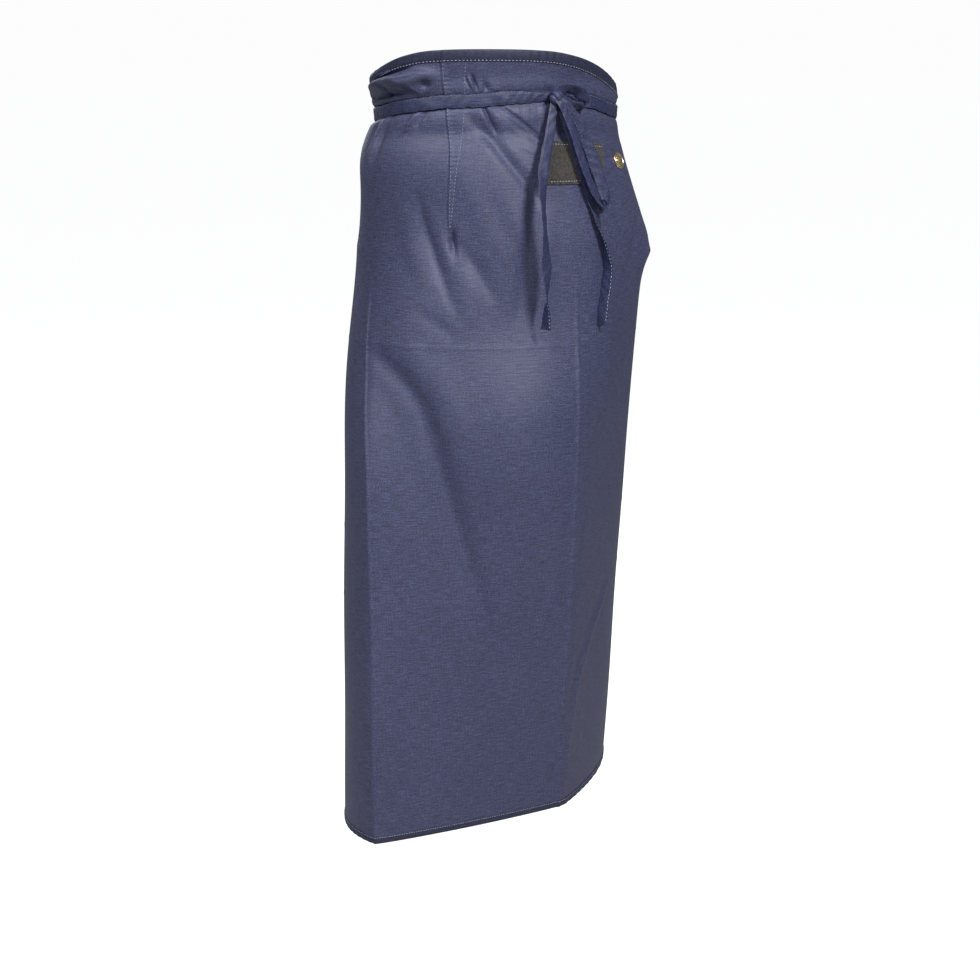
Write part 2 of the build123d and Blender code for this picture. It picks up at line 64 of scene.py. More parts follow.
def smooth(xs, ys, x):
    """Value at x of a curve through (xs, ys) that doesn't overshoot."""
    xs, ys, x = (np.asarray(v, float) for v in (xs, ys, x))
    rise = np.diff(ys, axis=0) / np.diff(xs).reshape(-1, *(1,) * (ys.ndim - 1))
    a, b = rise[:-1], rise[1:]
    same = a * b > 0
    inner = np.where(same, 2 * a * b / np.where(same, a + b, 1), 0)
    return cubic(xs, ys, np.concatenate([rise[:1], inner, rise[-1:]]), x)


def rounded(xs, ys, x):
    """Value at x of a rounder curve through (xs, ys), which may overshoot a little."""
    return cubic(xs, ys, np.gradient(ys, xs, axis=0), x)


def step(low, high, x):
    """0 below low, 1 above high, smooth in between."""
    t = np.clip((np.asarray(x, float) - low) / (high - low), 0, 1)
    return t * t * (3 - 2 * t)


def bell(x, centre, half):
    """1 at the centre, falling to 1/e at half on either side of it."""
    return np.exp(-((x - centre) / half) ** 2)


def unit(v):
    return v / np.maximum(np.linalg.norm(v, axis=-1, keepdims=True), 1e-12)


def run_along(points):
    """Length along a polyline at each of its points."""
    return np.concatenate([[0], np.cumsum(np.linalg.norm(np.diff(points, axis=0), axis=1))])


def resample(points, pitch):
    """Points of a polyline at an even pitch, with the unit directions there."""
    run = run_along(points)

    def at(marks):
        return np.stack([np.interp(marks, run, points[:, k]) for k in range(3)], 1)

    marks = np.arange(pitch / 2, run[-1], pitch)
    return at(marks), unit(at(marks + pitch / 4) - at(marks - pitch / 4))


# ------------------------------------------------------------------ hang of the cloth

HALF = 0.457               # half the flat width of the panel
HEM_Z = -0.860
DART_TAKE = 0.054          # cloth taken in by one dart at the top
DART_TOP_Z = 0.052
DART_TIP_Z = -0.175
WAIST = (0.157, 0.123, 0.040)   # oval of the waist: half width, half depth, x of the centre line
TOP_TURN = math.radians(26.5)
TOP_CURVE = np.array([(-300, 55), (-136, 54), (-122, 52.5), (-103, 47), (-80, 38.5), (-55, 29),
                      (-30, 20.5), (-10, 15.5), (10, 11), (50, 4), (90, 0), (300, 0)]) / 1000

# Headings of the cloth seen from above, in degrees, at stations along its width
STATIONS = np.array([-457, -400, -346, -290, -264, -248, -130, -8, 8,
                     100, 200, 280, 360, 457]) / 1000
HIP = [-170, -150, -126, -98, -84, -76, -34, -2, 2, 28, 74, 108, 142, 176]
KNEE = [-160, -142, -122, -98, -84, -36, -18, -6, 16, 32, 60, 100, 142, 178]
HEM = [-148, -136, -118, -92, -78, -12, -6, -1, 27, 36, 52, 90, 138, 178]
# Levels: height, headings, (x, y) of the centre line; and height, oval
DROPS = [(HEM_Z, HEM, (-0.002, -0.147)), (-0.450, KNEE, (0.011, -0.150)),
         (-0.170, HIP, (0.0194, -0.148))]
OVALS = [(-0.060, 0.165, 0.129, 0.036), (-0.036, *WAIST), (0.012, *WAIST), (0.052, 0.161, 0.127, 0.041)]
GRID_S = np.linspace(-HALF, HALF, 1829)
GRID_Z = np.concatenate([np.arange(-0.88, -0.2, 0.01), np.arange(-0.2, 0.0701, 0.002)])


def shrink(z):
    """Share of the flat width that the darts leave at height z."""
    take = DART_TAKE * (np.asarray(z, float) - DART_TIP_Z) / (DART_TOP_Z - DART_TIP_Z)
    return (HALF - np.maximum(take, 0)) / HALF


def oval_table(a, b, front_x):
    """(arcs from the centre line, turns) round an oval."""
    start = math.asin(front_x / a)
    turns = start + np.linspace(-math.pi, math.pi, 2001)
    x, y = a * np.sin(turns), -b * np.cos(turns)
    arcs = run_along(np.stack([x, y], 1))
    return arcs - np.interp(start, turns, arcs), turns


def oval_headings(z, a, b, front_x):
    arcs, turns = oval_table(a, b, front_x)
    headings = np.degrees(np.unwrap(np.arctan2(b * np.sin(turns), a * np.cos(turns))))
    return np.interp(GRID_S * shrink(z), arcs, headings)


def hang():
    """x, y and heading of the cloth's middle on the grid of heights and stations."""
    levels = [z for z, *_ in DROPS] + [z for z, *_ in OVALS]
    headings = [smooth(STATIONS, table, GRID_S) for _, table, _ in DROPS]
    headings += [oval_headings(*oval) for oval in OVALS]
    centres = [centre for *_, centre in DROPS]
    centres += [(f, -b * math.sqrt(1 - (f / a) ** 2)) for _, a, b, f in OVALS]
    angle = np.radians(smooth(levels, headings, GRID_Z))
    centre = smooth(levels, centres, GRID_Z)
    middle = (angle[:, 1:] + angle[:, :-1]) / 2
    run = np.diff(GRID_S)[None, :] * shrink(GRID_Z)[:, None]
    edge = np.zeros((len(GRID_Z), 1))
    x = np.concatenate([edge, np.cumsum(np.cos(middle) * run, 1)], 1)
    y = np.concatenate([edge, np.cumsum(np.sin(middle) * run, 1)], 1)
    zero = len(GRID_S) // 2
    x += centre[:, :1] - x[:, zero:zero + 1]
    y += centre[:, 1:] - y[:, zero:zero + 1]
    return np.stack([x, y, angle], -1)


HANG = hang()


def looked_up(s, z):
    """Row of HANG at stations s and heights z, by straight interpolation."""
    s, z = np.broadcast_arrays(np.asarray(s, float), np.asarray(z, float))
    j = (s - GRID_S[0]) / (GRID_S[1] - GRID_S[0])
    j0 = np.clip(np.floor(j).astype(int), 0, len(GRID_S) - 2)
    fj = (j - j0)[..., None]
    i0 = np.clip(np.searchsorted(GRID_Z, z, side="right") - 1, 0, len(GRID_Z) - 2)
    fi = ((z - GRID_Z[i0]) / (GRID_Z[i0 + 1] - GRID_Z[i0]))[..., None]
    low = HANG[i0, j0] * (1 - fj) + HANG[i0, j0 + 1] * fj
    high = HANG[i0 + 1, j0] * (1 - fj) + HANG[i0 + 1, j0 + 1] * fj
    return low * (1 - fi) + high * fi


# ------------------------------------------------------------------ folds and creases

KNOT_ARC = -0.048
LEFT_TIE_Y = np.array([-135, -122, -108, -90, -60, 0, 60, 135]) / 1000
LEFT_TIE_Z = np.array([0, -2, -9, -15, -17, -15, -11, -9]) / 1000


def left_tie_z(y):
    """Height of the tie's middle round the wearer's left."""
    return smooth(LEFT_TIE_Y, LEFT_TIE_Z, y)


def right_tie_z(y):
    """Height of the tie's middle round the wearer's right, rising evenly to the front."""
    return -0.0135 - 0.12 * y


def tie_height(arc, z_guess=-0.01):
    """Height of the tie's middle over the cloth at an arc."""
    y = looked_up(arc / shrink(z_guess), z_guess)[..., 1]
    past_knot = step(KNOT_ARC - 0.005, KNOT_ARC + 0.005, arc)
    return right_tie_z(y) * (1 - past_knot) + left_tie_z(y) * past_knot


# Folds: points (arc, z) in mm along the fold, half width and height in mm. A negative
# height is a groove.
FOLDS = [
    ([(-133, -7), (-129, -17), (-124, -27), (-117, -41)], 2.6, -4.6),
    ([(-124, -8), (-119, -20), (-109, -36), (-104, -48)], 5.0, 1.9),
    ([(-139, -8), (-134, -20), (-127, -34)], 4.0, 1.1),
    ([(-116, -6), (-100, -18), (-82, -31), (-62, -46), (-45, -56)], 2.3, -3.6),
    ([(-110, -9), (-96, -22), (-80, -35), (-60, -46)], 4.5, 1.3),
    ([(-120, -14), (-106, -29), (-88, -43), (-68, -56)], 4.5, 1.0),
    ([(-147, 27), (-143, 18), (-139, 9)], 2.0, -4.4),
    ([(-154, 26), (-151, 18), (-146, 9)], 1.6, -1.8),
    ([(-151, 25), (-147, 16), (-143, 9)], 2.4, 2.2),
    ([(-132, 18), (-130, 13), (-128, 8)], 3.2, -4.0),
    ([(-322, 6), (-300, 12), (-282, 17), (-264, 23), (-239, 29), (-217, 34)], 2.3, -8.5),
    ([(-306, 3), (-279, 10), (-249, 20), (-214, 27)], 3.0, 6.5),
    ([(-292, -1), (-275, 1), (-248, 4), (-229, 6), (-208, 6)], 3.0, -6.5),
    ([(-216, 14), (-211, 9), (-205, 5)], 2.0, 1.9),
    ([(-188, 16), (-194, 10), (-200, 5)], 2.0, 1.7),
    ([(-240, 20), (-226, 12), (-215, 6)], 2.2, -2.4),
    ([(-120, 12), (-117, 8)], 3.0, 0.9),
    ([(-206, -13), (-212, -19), (-220, -30), (-226, -40)], 2.6, 2.4),
    ([(-199, -13), (-205, -22), (-211, -34)], 3.2, -2.4),
    ([(-256, -18), (-263, -30), (-271, -44), (-279, -64), (-284, -90)], 3.0, 2.6),
    ([(-247, -18), (-255, -34), (-264, -52), (-272, -78)], 4.0, -2.2),
    ([(-268, -22), (-281, -38), (-292, -60)], 3.4, -2.2),
    ([(-100, -52), (-88, -58), (-70, -68), (-55, -76)], 2.4, -0.7),
    ([(-204, -112), (-198, -134), (-191, -154), (-180, -180), (-170, -204), (-161, -226),
      (-152, -244)], 6.5, -4.0),
    ([(-178, -136), (-172, -160), (-162, -186), (-150, -212)], 6.0, 2.0),
    ([(-154, -160), (-129, -196), (-108, -232)], 9.0, -3.8),
    ([(-226, -120), (-212, -160), (-198, -190), (-182, -222)], 12.0, 2.2),
    ([(-150, -190), (-142, -225), (-135, -262)], 12.0, 1.6),
    ([(-149, -22), (-139, -31), (-128, -42), (-104, -70), (-72, -104), (-52, -122)], 7.0, -4.6),
    ([(-152, -84), (-140, -112), (-120, -152), (-96, -192)], 14.0, 2.6),
    ([(-112, -100), (-84, -146), (-55, -198)], 12.0, 2.0),
    ([(-196, -242), (-172, -258), (-155, -274)], 8.0, -1.8),
    ([(-68, -105), (-71, -160), (-74, -215), (-79, -262)], 9.0, -3.4),
    ([(-84, -120), (-91, -180), (-94, -240)], 11.0, 1.6),
    ([(-46, -140), (-48, -200), (-52, -260)], 8.0, 1.4),
    ([(-247, -297), (-229, -309), (-211, -324), (-192, -352), (-177, -402), (-154, -482), (-127, -570),
      (-102, -672)], 12.0, -8.0),
    ([(-252, -318), (-226, -340), (-206, -374), (-190, -430), (-168, -510), (-142, -600)], 30.0, -6.5),
    ([(-212, -282), (-176, -322), (-146, -392), (-118, -480)], 20.0, 3.6),
    ([(-120, -350), (-100, -410), (-92, -470)], 34.0, 3.0),
    ([(-60, -560), (-80, -640), (-96, -720)], 26.0, -1.8),
    ([(110, -600), (59, -650), (26, -706), (4, -802)], 5.0, 1.9),
    ([(92, -596), (46, -648), (16, -706), (-4, -790)], 7.0, -1.7),
    ([(60, -200), (52, -300), (48, -420)], 14.0, 1.3),
    ([(110, -150), (96, -190), (74, -240)], 12.0, -1.8),
    ([(37, -69), (50, -70), (64, -72)], 1.8, -1.8),
    ([(36, -93), (50, -88), (66, -80)], 1.8, -1.8),
    ([(40, -80), (52, -79), (66, -76)], 4.0, 1.2),
]
CREASE_HEIGHTS = [-0.283, -0.503, -0.585]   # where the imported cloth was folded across
CREASE_ARCS = [(-0.256, -0.014), (-0.006, 0), (0.256, 0.014)]   # and along: arc, slide above the knees
PUFF_DENTS = [(-0.199, 0.0165, 0.008, 0.0055, -0.0085),     # arc, z, their half widths, height
              (-0.253, 0.0085, 0.0038, 0.006, -0.0095),
              (-0.211, 0.029, 0.014, 0.003, 0.0022),
              (-0.232, 0.0175, 0.014, 0.004, 0.0036)]
DART_FOLD = ([-0.172, -0.146, -0.06, 0, 0.04], [0.158, 0.1655, 0.1705, 0.1765, 0.182])     # z, arc
BUMP_AT = (0.140, -0.184)                   # a point that sticks out at the wearer's left hip
SNAP_AT = (0.074, -0.074)


def along_fold(points, arc, z):
    """(distance from a fold's line, share of the way along it) at places on the cloth."""
    best = np.full(arc.shape, np.inf)
    share = np.zeros(arc.shape)
    runs = list(zip(points, points[1:]))
    total = sum(math.dist(a, b) for a, b in runs)
    done = 0.0
    for a, b in runs:
        length = math.dist(a, b)
        ux, uz = (b[0] - a[0]) / length, (b[1] - a[1]) / length
        t = np.clip((arc - a[0]) * ux + (z - a[1]) * uz, 0, length)
        away = np.hypot(arc - a[0] - t * ux, z - a[1] - t * uz)
        nearer = away < best
        best = np.where(nearer, away, best)
        share = np.where(nearer, (done + t) / total, share)
        done += length
    return best, share


def folds(arc, z):
    """Height of all the single folds, in metres."""
    arc, z = arc * 1000, z * 1000
    height = np.zeros(arc.shape)
    for points, width, rise in FOLDS:
        xs, zs = zip(*points)
        reach = 3 * width
        near = (arc > min(xs) - reach) & (arc < max(xs) + reach)
        near &= (z > min(zs) - reach) & (z < max(zs) + reach)
        away, share = along_fold(points, arc[near], z[near])
        fade = np.sin(np.pi * np.clip(0.08 + 0.9 * share, 0, 1)) ** 0.7
        height[near] += rise * bell(away, 0, width) * fade
    return height / 1000


def gathers(arc, above):
    """Small puckers that the tie presses into the cloth. above is the height over the tie."""
    wave = np.sin(arc * 395 + 1.3 * np.sin(arc * 61)) + 0.7 * np.sin(arc * 617 + 2)
    patchy = 0.45 + 0.55 * np.sin(arc * 37 + 1) * np.sin(arc * 23)
    high = np.exp(-np.maximum(above - 0.007, 0) / 0.008) * (above > 0)
    low = np.exp(-np.maximum(-above - 0.007, 0) / 0.014) * (above <= 0)
    return 0.00042 * wave * patchy * (high + low)


def puff(arc, z):
    """The roll of slack cloth over the tie at the wearer's right."""
    along = step(-0.305, -0.262, arc) * (1 - step(-0.205, -0.168, arc))
    height = 0.0125 * bell(z, 0.0195 + 0.05 * (arc + 0.23), 0.0105) * along
    for arc_at, z_at, half_arc, half_z, rise in PUFF_DENTS:
        height += rise * bell(arc, arc_at, half_arc) * bell(z, z_at, half_z)
    return height


def dart(arc, z):
    """The pressed step of a dart's fold, the pucker of its seam and the dimple at its tip."""
    side = np.abs(arc)
    past = side - smooth(*DART_FOLD, z)
    alive = step(-0.178, -0.150, z)
    ridge = 0.0009 * bell(past, -0.0016, 0.0022)
    drop = -0.0012 * bell(past, 0.0012, 0.0011)
    lap = 0.0007 * step(-0.004, 0.001, -past) * step(-0.026, -0.014, past)
    pucker = 0.00022 * np.sin(z * 1250) * bell(past, -0.004, 0.007)
    tip = -0.0072 * bell(side, 0.1600 + 0.18 * (z + 0.160), 0.0040) * bell(z, -0.161, 0.015)
    shoulder = 0.0022 * bell(side, 0.151, 0.0065) * bell(z, -0.170, 0.022)
    return alive * (ridge + drop + lap + pucker) + tip + shoulder


def creases(arc, z):
    """Sharp lines where the cloth was folded in its packet."""
    height = np.zeros(arc.shape)
    for level in CREASE_HEIGHTS:
        wander = level + 0.002 * np.sin(arc * 19)
        height += 0.0003 * (1 + bell(arc, -0.21, 0.07)) * bell(z, wander, 0.0018)
    alive = 1 - step(-0.25, -0.2, z)
    for line, slide in CREASE_ARCS:
        wander = line + slide * step(-0.45, -0.25, z) + 0.0012 * np.sin(z * 17)
        height += alive * 0.0015 * bell(arc, wander, 0.0022)
    return height


def cinch(arc):
    """How far the drawn tie bites in at the wearer's right side."""
    return 0.0058 * bell(arc, -0.288, 0.045)


def hip_swell(arc, z):
    """The cloth springs out under the bite of the tie, and over it the edge flares."""
    under = 0.0065 * bell(z, -0.066, 0.034)
    over = 0.0040 * step(0.006, 0.026, z)
    return bell(arc, -0.310, 0.055) * (under + over)


def thighs(arc, z):
    """The cloth leans out over each thigh and falls back below it."""
    down = -z
    left = step(0.240, 0.375, down) * (1 - step(0.40, 0.80, down))
    right = step(0.150, 0.262, down) * (1 - step(0.28, 0.56, down))
    return 0.0215 * left * bell(arc, -0.065, 0.085) + 0.0100 * right * bell(arc, -0.190, 0.050)


def belly(arc, z):
    """The front springs out under the tie, and leans out again over it."""
    front = step(-0.30, -0.20, arc) * (1 - step(-0.03, 0.19, arc))
    under = 0.0040 * bell(z, -0.075, 0.048)
    over = 0.0050 * step(0.012, 0.050, z)
    return front * (under + over)


def snap_pull(arc, z):
    """The cloth stands out beside the snap at the wearer's left, and sinks at the wearer's right."""
    across = (arc - SNAP_AT[0]) / 0.013
    return 0.0030 * across * bell(across, 0, 1) * bell(z, SNAP_AT[1], 0.016)


def relief(arc, z):
    """How far the cloth stands out from its plain hang, in metres."""
    above = z - tie_height(arc)
    squeeze = -(0.0012 + cinch(arc)) * np.exp(-(above / 0.0105) ** 4)
    swell = 0.0016 * bell(above, 0.016, 0.008) + 0.0022 * bell(above, -0.021, 0.012)
    free = 1 - np.exp(-(above / 0.0088) ** 6)
    bump = 0.0115 * np.exp(-np.hypot((arc - BUMP_AT[0]) / 0.016, (z - BUMP_AT[1]) / 0.024) ** 1.3)
    drift = 0.0011 * np.sin(arc * 31 + z * 9) * np.sin(z * 13 + 1.7) * step(-0.05, -0.15, z)
    loose = folds(arc, z) + gathers(arc, above) + puff(arc, z) + swell + hip_swell(arc, z) + belly(arc, z)
    pulled = bump + drift + thighs(arc, z) + snap_pull(arc, z)
    return squeeze + free * loose + dart(arc, z) + creases(arc, z) + pulled


def on_cloth(s, z, out=0.0):
    """Points at stations s and heights z, out metres off the middle of the cloth."""
    s, z, out = np.broadcast_arrays(*(np.asarray(v, float) for v in (s, z, out)))
    x, y, angle = np.moveaxis(looked_up(s, z), -1, 0)
    rise = relief(s * shrink(z), z) + out
    return np.stack([x + rise * np.sin(angle), y - rise * np.cos(angle), z], -1)


def at_arc(arc, z, out=0.0):
    arc, z = np.broadcast_arrays(np.asarray(arc, float), np.asarray(z, float))
    return on_cloth(arc / shrink(z), z, out)


def top_height(s):
    """Height of the top edge at stations s."""
    z = np.full(np.shape(s), 0.02)
    for _ in range(10):
        x, y, _ = np.moveaxis(looked_up(s, z), -1, 0)
        fall = x * math.sin(TOP_TURN) + y * math.cos(TOP_TURN)
        z = smooth(TOP_CURVE[:, 0], TOP_CURVE[:, 1], fall)
    return z


# ------------------------------------------------------------------ meshes

def new_piece(name, points, faces, uv=None):
    mesh = bpy.data.meshes.new(name)
    mesh.from_pydata(points.tolist(), [], faces)
    if uv is not None:
        layer = mesh.uv_layers.new(name="cloth_uv")
        corner = np.zeros(len(mesh.loops), int)
        mesh.loops.foreach_get("vertex_index", corner)
        layer.data.foreach_set("uv", uv[corner].ravel())
    mesh.shade_smooth()
    mesh.validate()
    piece = bpy.data.objects.new(name, mesh)
    bpy.context.scene.collection.objects.link(piece)
    return piece


def grid_faces(rows, columns, wrap=False):
    across = columns if wrap else columns - 1
    i, j = np.meshgrid(np.arange(rows - 1), np.arange(across), indexing="ij")
    a = i * columns + j
    b = i * columns + (j + 1) % columns
    return np.stack([a, b, b + columns, a + columns], -1).reshape(-1, 4)


def grid_piece(name, points, uv):
    rows, columns = points.shape[:2]
    return new_piece(name, points.reshape(-1, 3), grid_faces(rows, columns).tolist(), uv.reshape(-1, 2))


def tube_piece(name, rings, uv):
    """Closed piece from rings of points, with flat ends."""
    rows, columns = rings.shape[:2]
    points = np.concatenate([rings.reshape(-1, 3), [rings[0].mean(0), rings[-1].mean(0)]])
    k = np.arange(columns)
    ahead = (k + 1) % columns
    last = (rows - 1) * columns
    centre = np.full(columns, rows * columns)
    start = np.stack([centre, ahead, k], -1)
    end = np.stack([centre + 1, last + k, last + ahead], -1)
    faces = grid_faces(rows, columns, wrap=True).tolist() + start.tolist() + end.tolist()
    return new_piece(name, points, faces, np.concatenate([uv.reshape(-1, 2), [uv[0, 0], uv[-1, 0]]]))


TAPE_THICK = 0.0011
TAPE_CROWN = 0.0003        # how much its middle is fuller than its edges
TAPE_SPREAD = np.linspace(-1, 1, 17)
TAPE_SEAM = 0.80           # its line of stitches, as a share of its half width
TAPE_SEAM_COLUMN = 13      # the point of TAPE_SPREAD whose crinkle the stitches follow


def tape_profile():
    """(share of the half width, height) round a tape that is sewn along both edges."""
    lift = TAPE_THICK / 2 * (1 - 0.62 * np.abs(TAPE_SPREAD) ** 6) + TAPE_CROWN * (1 - TAPE_SPREAD ** 2)
    lift -= 0.00035 * bell(np.abs(TAPE_SPREAD), TAPE_SEAM, 0.10)
    under = 1.2 * TAPE_CROWN * (1 - TAPE_SPREAD ** 2) - lift
    return np.concatenate([TAPE_SPREAD, TAPE_SPREAD[::-1]]), np.concatenate([lift, under[::-1]])


def tape(name, centre, across, width):
    """Folded tape: a flat closed strip with soft edges. across is the direction of its width.

    Also returns the line of its stitches and the way that its face looks.
    """
    along = unit(np.gradient(centre, axis=0))
    across = unit(across - along * np.sum(across * along, 1, keepdims=True))
    face = np.cross(along, across)
    run = run_along(centre)
    width = width * (1 + 0.035 * np.sin(run * 233) + 0.03 * np.sin(run * 541 + 1))
    spread, height = tape_profile()
    reach = run[:, None]
    slack = 0.5 + 0.5 * np.sin(reach * 83 + 1.5)
    crinkle = 0.00030 * slack * np.sin(reach * 171 + 2.2 * spread + 2 * np.sin(reach * 47))
    crinkle = crinkle + 0.00016 * np.sin(reach * 397 - 3.1 * spread + 3 * np.sin(reach * 61))
    sideways = spread / 2 * width[:, None]
    rings = centre[:, None] + across[:, None] * sideways[..., None]
    rings = rings + face[:, None] * (height + crinkle)[..., None]
    piece = tube_piece(name, rings, np.stack([np.broadcast_to(reach, sideways.shape), sideways], -1))
    seam = centre + across * (TAPE_SEAM / 2 * width)[:, None]
    seam += face * (TAPE_THICK / 2 + crinkle[:, TAPE_SEAM_COLUMN])[:, None]
    return piece, seam, face


STITCH_SIDES = 6
STITCH_SHAPE = [(-0.5, 0.25), (-0.36, 0.85), (0.0, 1.0), (0.36, 0.85), (0.5, 0.25)]


def stitch_row(name, line, normal, pitch=0.0031, share=0.72, radius=0.00032):
    """One row of separate stitches along a line of points, lying on the cloth."""
    middle, along = resample(line, pitch)
    nearest = np.array([np.argmin(np.sum((line - p) ** 2, 1)) for p in middle])
    up = unit(normal[nearest])
    side = unit(np.cross(along, up))
    turn = np.arange(STITCH_SIDES) * 2 * math.pi / STITCH_SIDES
    points, faces, ends = [], [], []
    for p, a, u, w in zip(middle, along, up, side):
        wobble = 1 + RANDOM.uniform(-0.12, 0.12)
        base = len(points) * STITCH_SIDES
        for t, r in STITCH_SHAPE:
            ring = p + a * (t * pitch * share * wobble) + u * (0.5 * radius * r)
            ring = ring + np.outer(np.cos(turn), w) * radius * r
            points.append(ring + np.outer(np.sin(turn), u) * radius * 0.7 * r)
        faces += (base + grid_faces(len(STITCH_SHAPE), STITCH_SIDES, wrap=True)).tolist()
        first = list(range(base, base + STITCH_SIDES))
        last = [k + STITCH_SIDES * (len(STITCH_SHAPE) - 1) for k in first]
        ends += [first[::-1], last]
    return new_piece(name, np.concatenate(points), faces + ends)


def joined(name, pieces):
    """Several meshes as one piece."""
    bpy.ops.object.select_all(action="DESELECT")
    for piece in pieces:
        piece.select_set(True)
    bpy.context.view_layer.objects.active = pieces[0]
    bpy.ops.object.join()
    pieces[0].name = name
    pieces[0].data.name = name
    return pieces[0]


def finish_piece(piece, body, slot, material, *nodes):
    """Gives a piece its material and body, and hides the CAD nodes that it stands for; slot is not used."""
    piece.data.materials.append(material)
    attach(piece, body)
    if nodes:
        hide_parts(*nodes)


# ------------------------------------------------------------------ materials

class Nodes:
    """Shorthand for building a node tree."""

    def __init__(self, name):
        self.material = bpy.data.materials.new(name)
        self.material.use_nodes = True
        self.tree = self.material.node_tree
        self.shader = self.tree.nodes["Principled BSDF"]

    def add(self, kind, settings=(), inputs=()):
        node = self.tree.nodes.new(kind)
        for key, value in dict(settings).items():
            setattr(node, key, value)
        for key, value in dict(inputs).items():
            if isinstance(value, bpy.types.NodeSocket):
                self.tree.links.new(value, node.inputs[key])
            else:
                node.inputs[key].default_value = value
        return node

    def math(self, operation, a, b):
        node = self.add("ShaderNodeMath", {"operation": operation}, {0: a, 1: b})
        return node.outputs[0]

    def noise(self, where, scale, detail):
        node = self.add("ShaderNodeTexNoise", (), {"Vector": where, "Scale": scale, "Detail": detail})
        return node.outputs["Fac"]

    def mixed_colour(self, factor, colour, other):
        node = self.add("ShaderNodeMix", {"data_type": "RGBA"}, {0: factor, 6: (*colour, 1), 7: (*other, 1)})
        return node.outputs[2]

    def bump(self, height, strength, distance):
        node = self.add("ShaderNodeBump", (), {"Height": height, "Strength": strength, "Distance": distance})
        self.link(node.outputs[0], "Normal")

    def stretched_noise(self, where, scale_u, scale_v, detail):
        moved = self.add("ShaderNodeMapping", (), {"Vector": where, "Scale": (scale_u, scale_v, 1)})
        noise = self.add("ShaderNodeTexNoise", {"noise_dimensions": "2D"},
                         {"Vector": moved.outputs[0], "Scale": 1.0, "Detail": detail})
        return noise.outputs["Fac"]

    def ramp(self, factor, low, high):
        """low where a noise is dark, high where it is light."""
        node = self.add("ShaderNodeMapRange", (), {"Value": factor, "From Min": 0.3, "From Max": 0.7,
                                                   "To Min": low, "To Max": high})
        return node.outputs[0]

    def scaled_colour(self, colour, factor):
        node = self.add("ShaderNodeVectorMath", {"operation": "SCALE"}, {0: colour, "Scale": factor})
        return node.outputs[0]

    def link(self, out, socket):
        self.tree.links.new(out, self.shader.inputs[socket])


WEAVE_SCALE = 70.0


def cloth_material(name, colour, other, slub=0.30, roughness=0.56):
    """Woven cloth: fine over-and-under weave, long slubs in the weft and a slow drift of shade."""
    n = Nodes(name)
    where = n.add("ShaderNodeUVMap", {"uv_map": "cloth_uv"}).outputs[0]
    weft = n.stretched_noise(where, 70, 900, 3)
    warp = n.stretched_noise(where, 900, 60, 2)
    pepper = n.stretched_noise(where, 620, 620, 4)
    drift = n.stretched_noise(where, 14, 9, 3)
    shade = n.math("MULTIPLY", n.ramp(weft, 1 - slub, 1 + slub), n.ramp(warp, 1 - slub / 2, 1 + slub / 2))
    shade = n.math("MULTIPLY", shade, n.ramp(pepper, 1 - slub * 1.3, 1 + slub * 1.3))
    tint = n.mixed_colour(n.ramp(drift, 0.0, 1.0), colour, other)
    n.link(n.scaled_colour(tint, shade), "Base Color")
    u_wave = n.add("ShaderNodeTexWave", {"bands_direction": "X"}, {"Vector": where, "Scale": WEAVE_SCALE})
    v_wave = n.add("ShaderNodeTexWave", {"bands_direction": "Y"}, {"Vector": where, "Scale": WEAVE_SCALE})
    thread = n.math("ADD", u_wave.outputs["Fac"], v_wave.outputs["Fac"])
    height = n.math("ADD", n.math("MULTIPLY", thread, 0.3), n.math("ADD", weft, pepper))
    n.bump(height, 0.35, 0.0004)
    n.link(n.ramp(pepper, roughness - 0.06, roughness + 0.06), "Roughness")
    return n.material


def thread_material(name, colour):
    """Twisted thread, lighter and darker from stitch to stitch."""
    n = Nodes(name)
    where = n.add("ShaderNodeTexCoord").outputs["Object"]
    shade = n.ramp(n.noise(where, 420.0, 2.0), 0.65, 1.35)
    n.link(n.scaled_colour(colour, shade), "Base Color")
    twist = n.add("ShaderNodeTexWave", {"bands_direction": "DIAGONAL"}, {"Vector": where, "Scale": 700.0})
    n.bump(twist.outputs["Fac"], 0.4, 0.0001)
    n.shader.inputs["Roughness"].default_value = 0.6
    n.shader.inputs["Sheen Weight"].default_value = 0.2
    return n.material


def felt_material(name, colour):
    """Dull felted cloth, speckled."""
    n = Nodes(name)
    where = n.add("ShaderNodeTexCoord").outputs["Object"]
    coarse = n.noise(where, 420.0, 5.0)
    fibres = n.noise(where, 1500.0, 3.0)
    shade = n.math("MULTIPLY", n.ramp(coarse, 0.35, 1.8), n.ramp(fibres, 0.6, 1.4))
    n.link(n.scaled_colour(colour, shade), "Base Color")
    n.bump(n.math("ADD", coarse, fibres), 0.8, 0.0008)
    n.shader.inputs["Roughness"].default_value = 0.95
    n.shader.inputs["Sheen Weight"].default_value = 0.15
    return n.material


def brass_material(name):
    """Pale polished brass, tarnished in patches."""
    n = Nodes(name)
    where = n.add("ShaderNodeTexCoord").outputs["Object"]
    tarnish = n.noise(where, 260.0, 4.0)
    n.link(n.mixed_colour(n.ramp(tarnish, 0.0, 1.0), (0.80, 0.66, 0.40), (0.55, 0.42, 0.22)), "Base Color")
    n.link(n.ramp(tarnish, 0.18, 0.42), "Roughness")
    n.shader.inputs["Metallic"].default_value = 1.0
    return n.material


